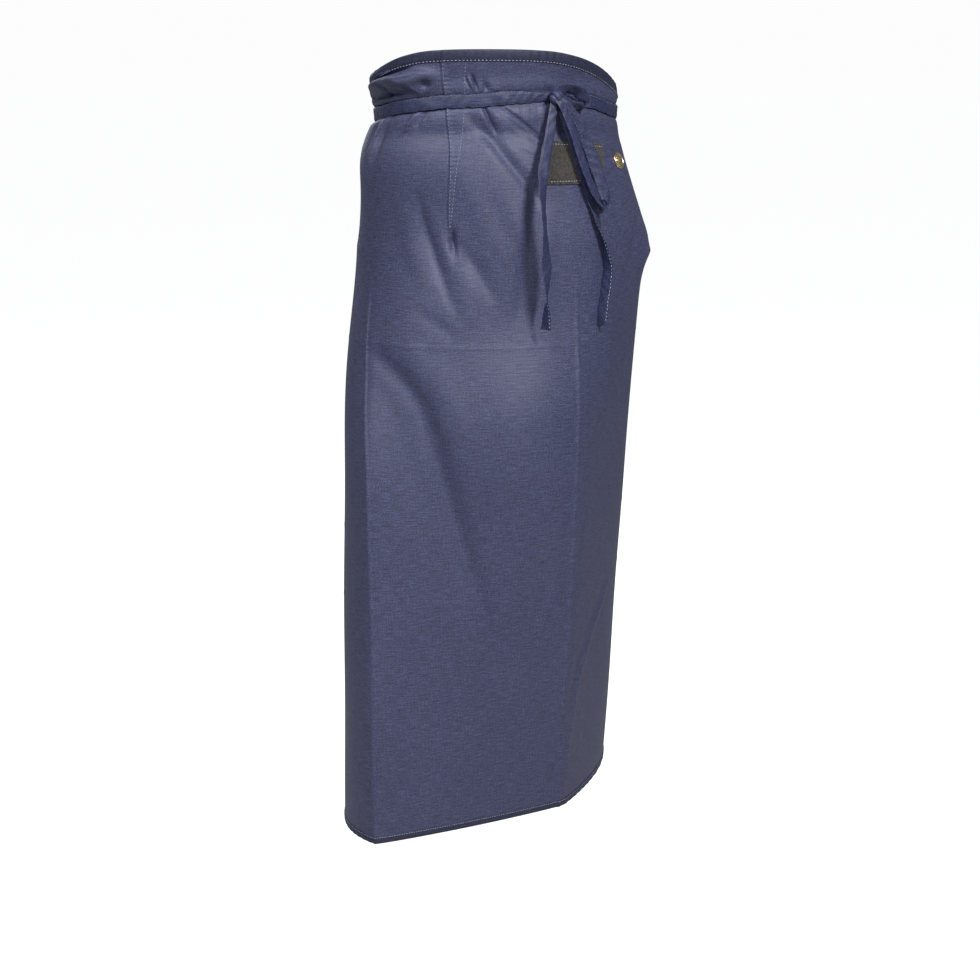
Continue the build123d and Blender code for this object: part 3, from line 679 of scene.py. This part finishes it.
PANEL = cloth_material("panel_cotton", (0.042, 0.046, 0.102), (0.038, 0.042, 0.096))
BINDING = cloth_material("binding_cotton", (0.015, 0.018, 0.048), (0.013, 0.016, 0.043),
                         slub=0.26, roughness=0.60)
TIES = cloth_material("tie_cotton", (0.020, 0.025, 0.074), (0.017, 0.021, 0.064),
                      slub=0.40, roughness=0.55)
SEAM_THREAD = thread_material("seam_thread", (0.25, 0.27, 0.40))
DART_THREAD = thread_material("dart_thread", (0.20, 0.22, 0.33))
TIE_THREAD = thread_material("tie_thread_blue", (0.085, 0.10, 0.19))
TAIL_THREAD = thread_material("tail_thread_pale", (0.32, 0.35, 0.48))
PATCH = felt_material("patch_felt", (0.032, 0.028, 0.027))
PATCH_THREAD = thread_material("patch_thread_grey", (0.33, 0.32, 0.28))
BRASS = brass_material("snap_brass_worn")


# ------------------------------------------------------------------ panel and bindings

CLOTH = 0.001
SKIN = 0.00075             # one side of the folded binding
TOP_BAND = 0.0130
HEM_BAND = 0.0080
SEAM_IN = 0.0014           # a binding's row of stitches, from the band's free edge
CORNER_GAP = 0.0002        # between the side bindings and the top and hem bindings


def spaced(marks):
    """Values from (start, end, spacing) runs, each run ending where the next one starts."""
    runs = [np.arange(a, b, pitch) for a, b, pitch in marks]
    return np.concatenate([*runs, [marks[-1][1]]])


def make_panel():
    s = spaced([(-HALF, -0.37, 0.005), (-0.37, -0.05, 0.0011), (-0.05, 0.13, 0.0018), (0.13, HALF, 0.005)])
    low = spaced([(HEM_Z, -0.30, 0.0045), (-0.30, -0.075, 0.0022)])
    rows_over_low = 123
    share = np.linspace(0, 1, rows_over_low + 1)[1:, None]
    z_low = np.repeat(low[:, None], len(s), 1)
    z = np.concatenate([z_low, low[-1] + share * (top_height(s) - low[-1])])
    columns = np.broadcast_to(s, z.shape)
    points = on_cloth(columns, z)
    uv = np.stack([columns * shrink(z), z], -1)
    panel = grid_piece("apron_cloth", points, uv)
    shell = panel.modifiers.new("thickness", "SOLIDIFY")
    shell.thickness = CLOTH
    shell.offset = 0
    finish_piece(panel, "apron", "panel_cloth", PANEL, "apron_panel")


def binding_profile(band):
    """(drop from the edge, offset from the middle) round a folded binding."""
    reach = CLOTH / 2 + SKIN
    outer = [(band, CLOTH / 2 + 0.0001), (band - 0.0004, reach), (band * 0.6, reach + 0.0001),
             (band * 0.3, reach + 0.0001), (0.0008, reach)]
    turn = [(-0.0003, reach * 0.72), (-SKIN, 0.0), (-0.0003, -reach * 0.72)]
    inner = [(0.0008, -reach), (band * 0.5, -reach), (band - 0.0004, -reach), (band, -CLOTH / 2 - 0.0001)]
    return np.array(outer + turn + inner)


def make_binding(name, node, band, stations, heights, ripple_start):
    """Sweeps the folded tape along an edge; stations and heights are [along, round]."""
    offset = binding_profile(band)[:, 1]
    ripple = 0.00025 * np.sin(np.arange(len(stations)) * 0.9 + ripple_start)
    rings = on_cloth(stations, heights, offset + ripple[:, None] * np.sign(offset))
    way_round = np.arange(1, len(offset) + 1) * band / 5
    uv = np.stack(np.broadcast_arrays(run_along(rings[:, 0])[:, None], way_round), -1)
    finish_piece(tube_piece(name, rings, uv), "apron", "binding_tape", BINDING, node)


def edge_stations():
    return spaced([(-HALF, -0.36, 0.004), (-0.36, -0.05, 0.0016), (-0.05, 0.1, 0.0022), (0.1, HALF, 0.004)])


def make_top_binding():
    s = edge_stations()[:, None]
    heights = top_height(s) - binding_profile(TOP_BAND)[:, 0]
    stations = np.broadcast_to(s, heights.shape)
    make_binding("top_edge_binding", "top_binding", TOP_BAND, stations, heights, 0)


def make_hem_binding():
    stations, drop = np.meshgrid(edge_stations(), binding_profile(HEM_BAND)[:, 0], indexing="ij")
    make_binding("hem_edge_binding", "hem_binding", HEM_BAND, stations, HEM_Z + drop, 1)


def make_side_binding(side, name):
    top = top_height(np.array(side * HALF)) - TOP_BAND - CORNER_GAP
    z = np.arange(HEM_Z + HEM_BAND + CORNER_GAP, top, 0.004)
    heights, drop = np.meshgrid(z, binding_profile(HEM_BAND)[:, 0], indexing="ij")
    stations = side * (HALF - drop / shrink(heights))
    make_binding(f"side_edge_binding_{name}", f"side_binding_{name}", HEM_BAND, stations, heights, 2 + side)


def make_edge_row(name, node, s, z, **stitch):
    out = CLOTH / 2 + SKIN
    line = on_cloth(s, z, out)
    row = stitch_row(name, line, line - on_cloth(s, z, out - 0.001), **stitch)
    finish_piece(row, "apron", "sewing_thread", SEAM_THREAD, node)


def make_edge_stitching():
    s = np.linspace(-HALF, HALF, 1200)
    make_edge_row("top_edge_stitches", "top_stitching", s, top_height(s) - TOP_BAND + SEAM_IN,
                  pitch=0.0044, share=0.60, radius=0.00042)
    make_edge_row("hem_edge_stitches", "hem_stitching", s, np.full(s.shape, HEM_Z + HEM_BAND - SEAM_IN))
    for side, name in SIDES:
        z = np.linspace(HEM_Z + 0.012, -0.012, 800)
        edge = side * (HALF - (HEM_BAND - SEAM_IN) / shrink(z))
        make_edge_row(f"side_edge_stitches_{name}", f"side_stitching_{name}", edge, z)


DART_ROW_ENDS = (-0.1465, 0.05)
DART_ROWS = {
    "fold": ([-0.1465, -0.11, -0.06, -0.012, 0.012, 0.05], [0.164, 0.166, 0.169, 0.1735, 0.176, 0.1815]),
    "back": ([-0.1465, -0.115, -0.085, -0.058, -0.012, 0.012, 0.05],
             [0.1630, 0.1618, 0.1615, 0.1590, 0.1545, 0.1540, 0.1555]),
}


def make_dart_stitching():
    for side, name in SIDES:
        rows = []
        for row, (heights, arcs) in DART_ROWS.items():
            z = np.linspace(*DART_ROW_ENDS, 260)
            arc = side * smooth(heights, arcs, z)
            keep = z < top_height(arc / shrink(z)) - TOP_BAND - 0.001
            z, arc = z[keep], arc[keep]
            line = at_arc(arc, z, CLOTH / 2)
            normal = line - at_arc(arc, z, -CLOTH / 2)
            rows.append(stitch_row(f"dart_row_{row}_{name}", line, normal, pitch=0.0042, share=0.56,
                                   radius=0.00030))
        piece = joined(f"dart_stitches_{name}", rows)
        finish_piece(piece, "apron", "sewing_thread", DART_THREAD, f"dart_stitching_{name}")


# ------------------------------------------------------------------ patch and snap

PATCH_ARC = (-0.054, 0.033)
PATCH_Z = (-0.098, -0.048)
PATCH_SLOPE = 0.005        # how much lower its top edge is at the wearer's left
PATCH_SEAM_IN = 0.0035     # its rows of stitches, from its edges


def patch_share(arc):
    """Share of the way across the patch."""
    return (arc - PATCH_ARC[0]) / (PATCH_ARC[1] - PATCH_ARC[0])


def make_patch():
    """Cut felt rectangle, thick at its edges, a little higher at the wearer's right."""
    arcs, zs = np.meshgrid(np.linspace(*PATCH_ARC, 90), np.linspace(*PATCH_Z, 60))
    edge = np.minimum(np.minimum(arcs - PATCH_ARC[0], PATCH_ARC[1] - arcs),
                      np.minimum(zs - PATCH_Z[0], PATCH_Z[1] - zs))
    frayed = 0.0004 * np.sin(arcs * 2100) * np.sin(zs * 1900)
    zs = zs - PATCH_SLOPE * patch_share(arcs) * (zs - PATCH_Z[0]) / (PATCH_Z[1] - PATCH_Z[0])
    pressed = bell(edge, PATCH_SEAM_IN, 0.0012)
    lift = 0.0020 - 0.0006 * pressed + 0.00015 * np.sin(arcs * 300) * np.sin(zs * 240)
    points = at_arc(arcs + frayed, zs + frayed, lift)
    piece = grid_piece("label_patch_felt", points, np.stack([arcs, zs], -1))
    shell = piece.modifiers.new("thickness", "SOLIDIFY")
    shell.thickness = 0.0013
    shell.offset = -1
    finish_piece(piece, "apron", "patch_cloth", PATCH, "label_patch")
    rows = []
    for k, height in enumerate((PATCH_Z[0] + PATCH_SEAM_IN, PATCH_Z[1] - PATCH_SEAM_IN)):
        arc = np.linspace(PATCH_ARC[0] + 0.003, PATCH_ARC[1] - 0.003, 120)
        z = height - PATCH_SLOPE * patch_share(arc) * k
        line = at_arc(arc, z, 0.0022)
        rows.append(stitch_row(f"patch_row_{k}", line, line - at_arc(arc, z), pitch=0.0040, share=0.7,
                               radius=0.00042))
    piece = joined("label_patch_stitches", rows)
    finish_piece(piece, "apron", "patch_thread", PATCH_THREAD, "patch_stitching")


SNAP_OUTLINE = [(9.8, -0.5), (10.1, 0.3), (9.9, 1.0), (9.2, 1.6), (8.5, 1.6), (8.0, 0.7), (7.5, 0.3),
                (7.1, 0.4), (6.8, 1.3), (6.0, 1.9), (4.6, 1.7), (3.4, 1.5), (2.6, 2.2), (1.6, 2.6),
                (0.4, 2.7)]          # radius and height in mm, from the rim to the middle
SNAP_FLUTES = 8


def make_snap():
    """Rolled rim, deep groove and a dome with shallow flutes, turned round an axis."""
    arc, z = SNAP_AT
    centre = at_arc(arc, z, 0.0012)
    side = at_arc(arc + 0.005, z) - at_arc(arc - 0.005, z)
    rise = at_arc(arc, z + 0.005) - at_arc(arc, z - 0.005)
    axis = unit(np.cross(side, rise))
    u = unit(side)
    v = np.cross(axis, u)
    turns = np.linspace(0, 2 * math.pi, 96, endpoint=False)
    rings = []
    for r, h in SNAP_OUTLINE:
        flutes = 0.30 * np.cos(turns * SNAP_FLUTES) * bell(r, 4.8, 1.6)
        ring = centre + np.outer(np.cos(turns), u) * r / 1000 + np.outer(np.sin(turns), v) * r / 1000
        rings.append(ring + np.outer(h + flutes, axis) / 1000)
    rings = np.array(rings)
    cap = tube_piece("snap_cap_dome", rings, np.zeros((*rings.shape[:2], 2)))
    finish_piece(cap, "apron", "snap_brass", BRASS, "snap_cap")
    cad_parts["snap_socket"].data.materials.clear()
    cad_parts["snap_socket"].data.materials.append(BRASS)


# ------------------------------------------------------------------ ties round the waist

TIE_WIDTH = 0.0150
TIE_OUT = 0.0016           # middle of the tie, off the waist oval
TIE_END_ARC = 0.390        # where a tie is sewn on, from the centre line
TIE_STITCH = {"pitch": 0.0043, "share": 0.60, "radius": 0.00034}
TAIL_STITCH = {**TIE_STITCH, "radius": 0.00036}
LEVEL = np.array([1, 1, 0])


def waist_point(arc, z, out):
    """Point out metres off the waist oval at an arc from the centre line, past the back too."""
    half_width, half_depth, _ = WAIST
    arcs, turns = oval_table(*WAIST)
    laps = np.floor((arc - arcs[0]) / WAIST_ROUND)
    turn = np.interp(arc - laps * WAIST_ROUND, arcs, turns)
    x = (half_width + out) * np.sin(turn)
    y = -(half_depth + out) * np.cos(turn)
    return np.stack([x, y, np.broadcast_to(z, x.shape)], -1)


WAIST_ROUND = float(np.ptp(oval_table(*WAIST)[0]))


def make_tie(side, name):
    """side -1: sewn at the wearer's right corner, round the wearer's left to the knot."""
    start, end = TIE_END_ARC, WAIST_ROUND + KNOT_ARC
    if side < 0:
        start, end = KNOT_ARC, WAIST_ROUND - TIE_END_ARC
    arc = np.linspace(start, end, 420)
    from_front = arc if side < 0 else arc - WAIST_ROUND
    flat = waist_point(arc, 0.0, TIE_OUT - cinch(from_front))
    y = flat[:, 1]
    to_knot = np.abs(arc - (start if side < 0 else end))
    spread = step(0.0, 0.055, to_knot)
    wander = 0.0006 * np.sin(arc * 47 + side) + 0.0004 * np.sin(arc * 91)
    height = (left_tie_z(y) if side < 0 else right_tie_z(y)) + wander * spread
    tilt = 0.10 * np.sin(arc * 23 + side)
    out = unit(flat * LEVEL)
    across = np.stack([out[:, 0] * tilt, out[:, 1] * tilt, np.ones(len(arc))], -1)
    width = TIE_WIDTH * (0.60 + 0.40 * spread)
    piece, seam, _ = tape(f"waist_tie_{name}", flat + np.outer(height, [0, 0, 1]), across, width)
    finish_piece(piece, "apron", "tie_tape", TIES, f"tie_{name}")
    keep = to_knot > 0.014
    row = stitch_row(f"waist_tie_stitches_{name}", (seam + out * 0.0004)[keep], out[keep], **TIE_STITCH)
    finish_piece(row, "apron", "tie_thread", TIE_THREAD, f"tie_stitching_{name}")
    make_tack(name, side)


def make_tack(name, side):
    """Box of close stitches over the sewn end."""
    half_box, rows_in_box, row_pitch = 0.005, 5, 0.0024
    middle = TIE_END_ARC + TIE_WIDTH / 2
    if side < 0:
        middle = WAIST_ROUND - middle
    rows = []
    for k in range(rows_in_box):
        flat = waist_point(np.linspace(middle - half_box, middle + half_box, 12), 0.0, TIE_OUT + TAPE_THICK)
        z = left_tie_z(flat[:, 1]) if side < 0 else right_tie_z(flat[:, 1])
        line = flat + np.outer(z + (k - rows_in_box // 2) * row_pitch, [0, 0, 1])
        rows.append(stitch_row(f"tack_{name}_{k}", line, flat * LEVEL, pitch=0.0026, radius=0.00028))
    finish_piece(joined(f"tie_tack_stitches_{name}", rows), "apron", "tie_thread", TIE_THREAD,
                 f"tie_tack_{name}")


# ------------------------------------------------------------------ bow

# Ribbons of the bow: (x, y, z) of the middle in mm, the turn of the tape's face about
# its own line in degrees (0 looks along FACING), and its width in mm.
UPPER_LOOP = [(-8, -130.5, 2, -10, 8), (-4, -132, 7, -26, 11), (3, -133.5, 10.5, -38, 14),
              (12, -135, 10.5, -42, 15), (21, -136.5, 7, -36, 15), (28, -137, 1, -14, 15),
              (32.5, -135, -6, -50, 14), (31, -132, -10, -112, 12), (22, -130, -9, -150, 12),
              (12, -128.8, -6, -165, 11), (2, -128.3, -2, -172, 10)]
HANGING_LOOP = [(-11, -137, 1, 22, 9), (-8, -139.5, -3, 28, 10), (-1, -141.5, -16, 38, 11),
                (6, -143.5, -32, 46, 12.5), (13, -146, -52, 50, 13.5), (19, -149, -72, 52, 14),
                (26, -152, -92, 56, 14.5), (34, -155, -110, 60, 15), (41, -156.5, -121, 78, 15),
                (46, -155.5, -124.5, 95, 15), (50.5, -153, -121, 120, 15), (50, -150, -108, 148, 15),
                (45, -148, -92, 158, 15), (38, -146, -74, 162, 14.5), (31, -144.5, -56, 165, 14),
                (24, -143.5, -39, 165, 12.5), (16, -142.5, -25, 165, 11.5), (7, -141.5, -14, 165, 10),
                (-1, -140.5, -6, 165, 9), (-7, -139, -1, 168, 8)]
LEFT_TAIL = [(-11, -133, -3, 20, 9), (-15, -135, -18, 24, 11), (-21, -138, -40, 30, 13),
             (-29, -142, -62, 33, 14.5), (-36, -146, -82, 34, 15), (-40, -150, -104, 56, 15),
             (-41.5, -154, -126, 70, 15), (-41, -156.5, -150, 70, 15), (-40, -157, -172, 58, 15),
             (-39, -157, -190, 43, 15), (-38.5, -157.5, -212, 68, 15), (-38.5, -157.5, -225, 88, 15),
             (-38.5, -157, -240, 113, 15), (-39, -156.5, -262, 142, 15)]
RIGHT_TAIL = [(-2.4, -132.5, -8, 10, 9), (4.1, -135.8, -26, 14, 11), (13.9, -138.5, -52, 20, 12.5),
              (25.9, -142.5, -88, 30, 13.5), (36, -147, -122, 50, 14), (44, -151, -150, 80, 14.5),
              (50.9, -153.4, -176, 116, 14.5), (54, -154.4, -196, 134, 15), (51, -154.4, -222, 144, 15),
              (47, -154, -246, 147, 15), (45.5, -153.5, -264, 147, 15)]
FACING = np.array([-0.57, -0.82, 0.0])
KNOT_AT = np.array([-0.0078, -0.1335, 0.0005])
KNOT_HALF = np.array([0.0098, 0.0062, 0.0086])


def ribbon(name, table, count):
    """Tape of the bow from its table of middles, turns and widths."""
    table = np.array(table, float)
    run = run_along(table[:, :3])
    values = rounded(run, table, np.linspace(0, run[-1], count))
    centre = values[:, :3] / 1000
    along = unit(np.gradient(centre, axis=0))
    flat = unit(np.cross(along, FACING))
    back = np.cross(flat, along)
    turn = np.radians(values[:, 3:4])
    across = flat * np.cos(turn) + back * np.sin(turn)
    return tape(name, centre, across, values[:, 4] / 1000)


def left_tail():
    """LEFT_TAIL, moved out along FACING so that the two tails swing past each other."""
    table = np.array(LEFT_TAIL, float)
    drop = -table[:, 2]
    out = 7.55 * step(10, 100, drop) + 3.67 * step(60, 110, drop)
    table[:, :3] += out[:, None] * FACING
    return table


def make_knot():
    """Small hard knot: two turns of tape drawn tight over each other."""
    v = np.linspace(0.02, math.pi - 0.02, 44)[:, None]
    w = np.linspace(0, 2 * math.pi, 64, endpoint=False)[None, :]
    x, y, z = np.sin(v) * np.cos(w), np.sin(v) * np.sin(w), np.cos(v) + 0 * w
    slant = 0.55
    u = x * math.cos(slant) + z * math.sin(slant)
    cut = bell(np.abs(u), 0.52, 0.10)
    band = 1 + 0.10 * np.exp(-(u / 0.38) ** 4)
    creased = 0.035 * np.sin(u * 21) * np.exp(-(u / 0.5) ** 4)
    r = band + creased - 0.14 * cut
    points = np.stack([x, y, z], -1) * r[..., None] * KNOT_HALF + KNOT_AT
    uv = np.stack(np.broadcast_arrays(w * 0.01, v * 0.01), -1)
    finish_piece(tube_piece("bow_knot_cloth", points, uv), "apron", "tie_tape", TIES, "bow_knot")


def make_bow():
    make_knot()
    piece, _, _ = ribbon("bow_upper_loop_tape", UPPER_LOOP, 220)
    finish_piece(piece, "apron", "tie_tape", TIES, "bow_upper_loop")
    piece, seam, face = ribbon("bow_hanging_loop_tape", HANGING_LOOP, 380)
    finish_piece(piece, "hanging_loop", "tie_tape", TIES, "bow_hanging_loop")
    row = stitch_row("bow_hanging_loop_stitches", seam[10:-10], face[10:-10], **TIE_STITCH)
    finish_piece(row, "hanging_loop", "tie_thread", TIE_THREAD)
    for name, table in (("left", left_tail()), ("right", RIGHT_TAIL)):
        piece, seam, face = ribbon(f"tail_{name}_tape", table, 360)
        finish_piece(piece, f"{name}_tail", "tie_tape", TIES, f"tail_{name}")
        row = stitch_row(f"tail_{name}_stitches", seam[14:-3], face[14:-3], **TAIL_STITCH)
        finish_piece(row, f"{name}_tail", "tie_thread", TAIL_THREAD, f"tail_stitching_{name}")


# ------------------------------------------------------------------ studio

def make_floor():
    """A very wide pale disc, well below the hem."""
    radius, height = 200.0, -0.99
    turns = np.linspace(0, 2 * math.pi, 96, endpoint=False)
    rim = np.stack([radius * np.cos(turns), radius * np.sin(turns), 0 * turns + height], -1)
    floor = new_piece("studio_floor", rim, [list(range(len(turns)))])
    n = Nodes("pale_floor")
    where = n.add("ShaderNodeTexCoord").outputs["Object"]
    n.link(n.scaled_colour((0.50, 0.50, 0.50), n.ramp(n.noise(where, 3.0, 2.0), 0.99, 1.01)), "Base Color")
    n.shader.inputs["Roughness"].default_value = 0.9
    n.shader.inputs["Emission Color"].default_value = (1, 1, 1, 1)
    seen = n.add("ShaderNodeLightPath").outputs["Is Camera Ray"]
    n.link(n.math("MULTIPLY", seen, 0.87), "Emission Strength")
    floor.data.materials.append(n.material)


def area_light(name, place, target, size, power):
    data = bpy.data.lights.new(name, "AREA")
    data.shape = "SQUARE"
    data.size = size
    data.energy = power
    light = bpy.data.objects.new(name, data)
    light.location = place
    light.rotation_euler = (Vector(target) - Vector(place)).to_track_quat("-Z", "Y").to_euler()
    bpy.context.scene.collection.objects.link(light)


def make_studio():
    make_floor()
    middle = (0.0, 0.0, -0.35)
    area_light("key", (0.0, -1.98, 1.10), middle, 0.45, 50)
    area_light("soft", (-1.85, -1.0, 1.75), middle, 1.1, 48)
    area_light("side", (-1.7, 0.35, 1.5), (-0.2, 0.0, -0.1), 0.6, 11)
    area_light("back", (0.9, 2.2, 0.9), middle, 2.0, 30)
    world = bpy.data.worlds.new("studio")
    bpy.context.scene.world = world
    world.use_nodes = True
    tree = world.node_tree
    ambient = tree.nodes["Background"]
    ambient.inputs["Color"].default_value = (0.93, 0.94, 0.96, 1)
    ambient.inputs["Strength"].default_value = 0.22
    seen = tree.nodes.new("ShaderNodeBackground")
    seen.inputs["Color"].default_value = (0.98, 0.98, 0.98, 1)
    seen.inputs["Strength"].default_value = 1.0
    rays = tree.nodes.new("ShaderNodeLightPath")
    mix = tree.nodes.new("ShaderNodeMixShader")
    tree.links.new(rays.outputs["Is Camera Ray"], mix.inputs[0])
    tree.links.new(ambient.outputs[0], mix.inputs[1])
    tree.links.new(seen.outputs[0], mix.inputs[2])
    tree.links.new(mix.outputs[0], tree.nodes["World Output"].inputs[0])
    bpy.context.scene.view_settings.view_transform = "Standard"


def make_camera():
    data = bpy.data.cameras.new("camera")
    data.sensor_width = 36.0
    data.lens = 69.8
    camera = bpy.data.objects.new("camera", data)
    camera.location = (-1.3537, -1.9211, 0.0137)
    camera.rotation_euler = (math.radians(78), 0, math.radians(-35))
    bpy.context.scene.collection.objects.link(camera)
    bpy.context.scene.camera = camera


make_camera()
make_studio()
make_panel()
make_top_binding()
make_hem_binding()
for SIDE, NAME in SIDES:
    make_side_binding(SIDE, NAME)
make_edge_stitching()
make_dart_stitching()
make_patch()
make_snap()
for SIDE, NAME in SIDES:
    make_tie(SIDE, NAME)
make_bow()
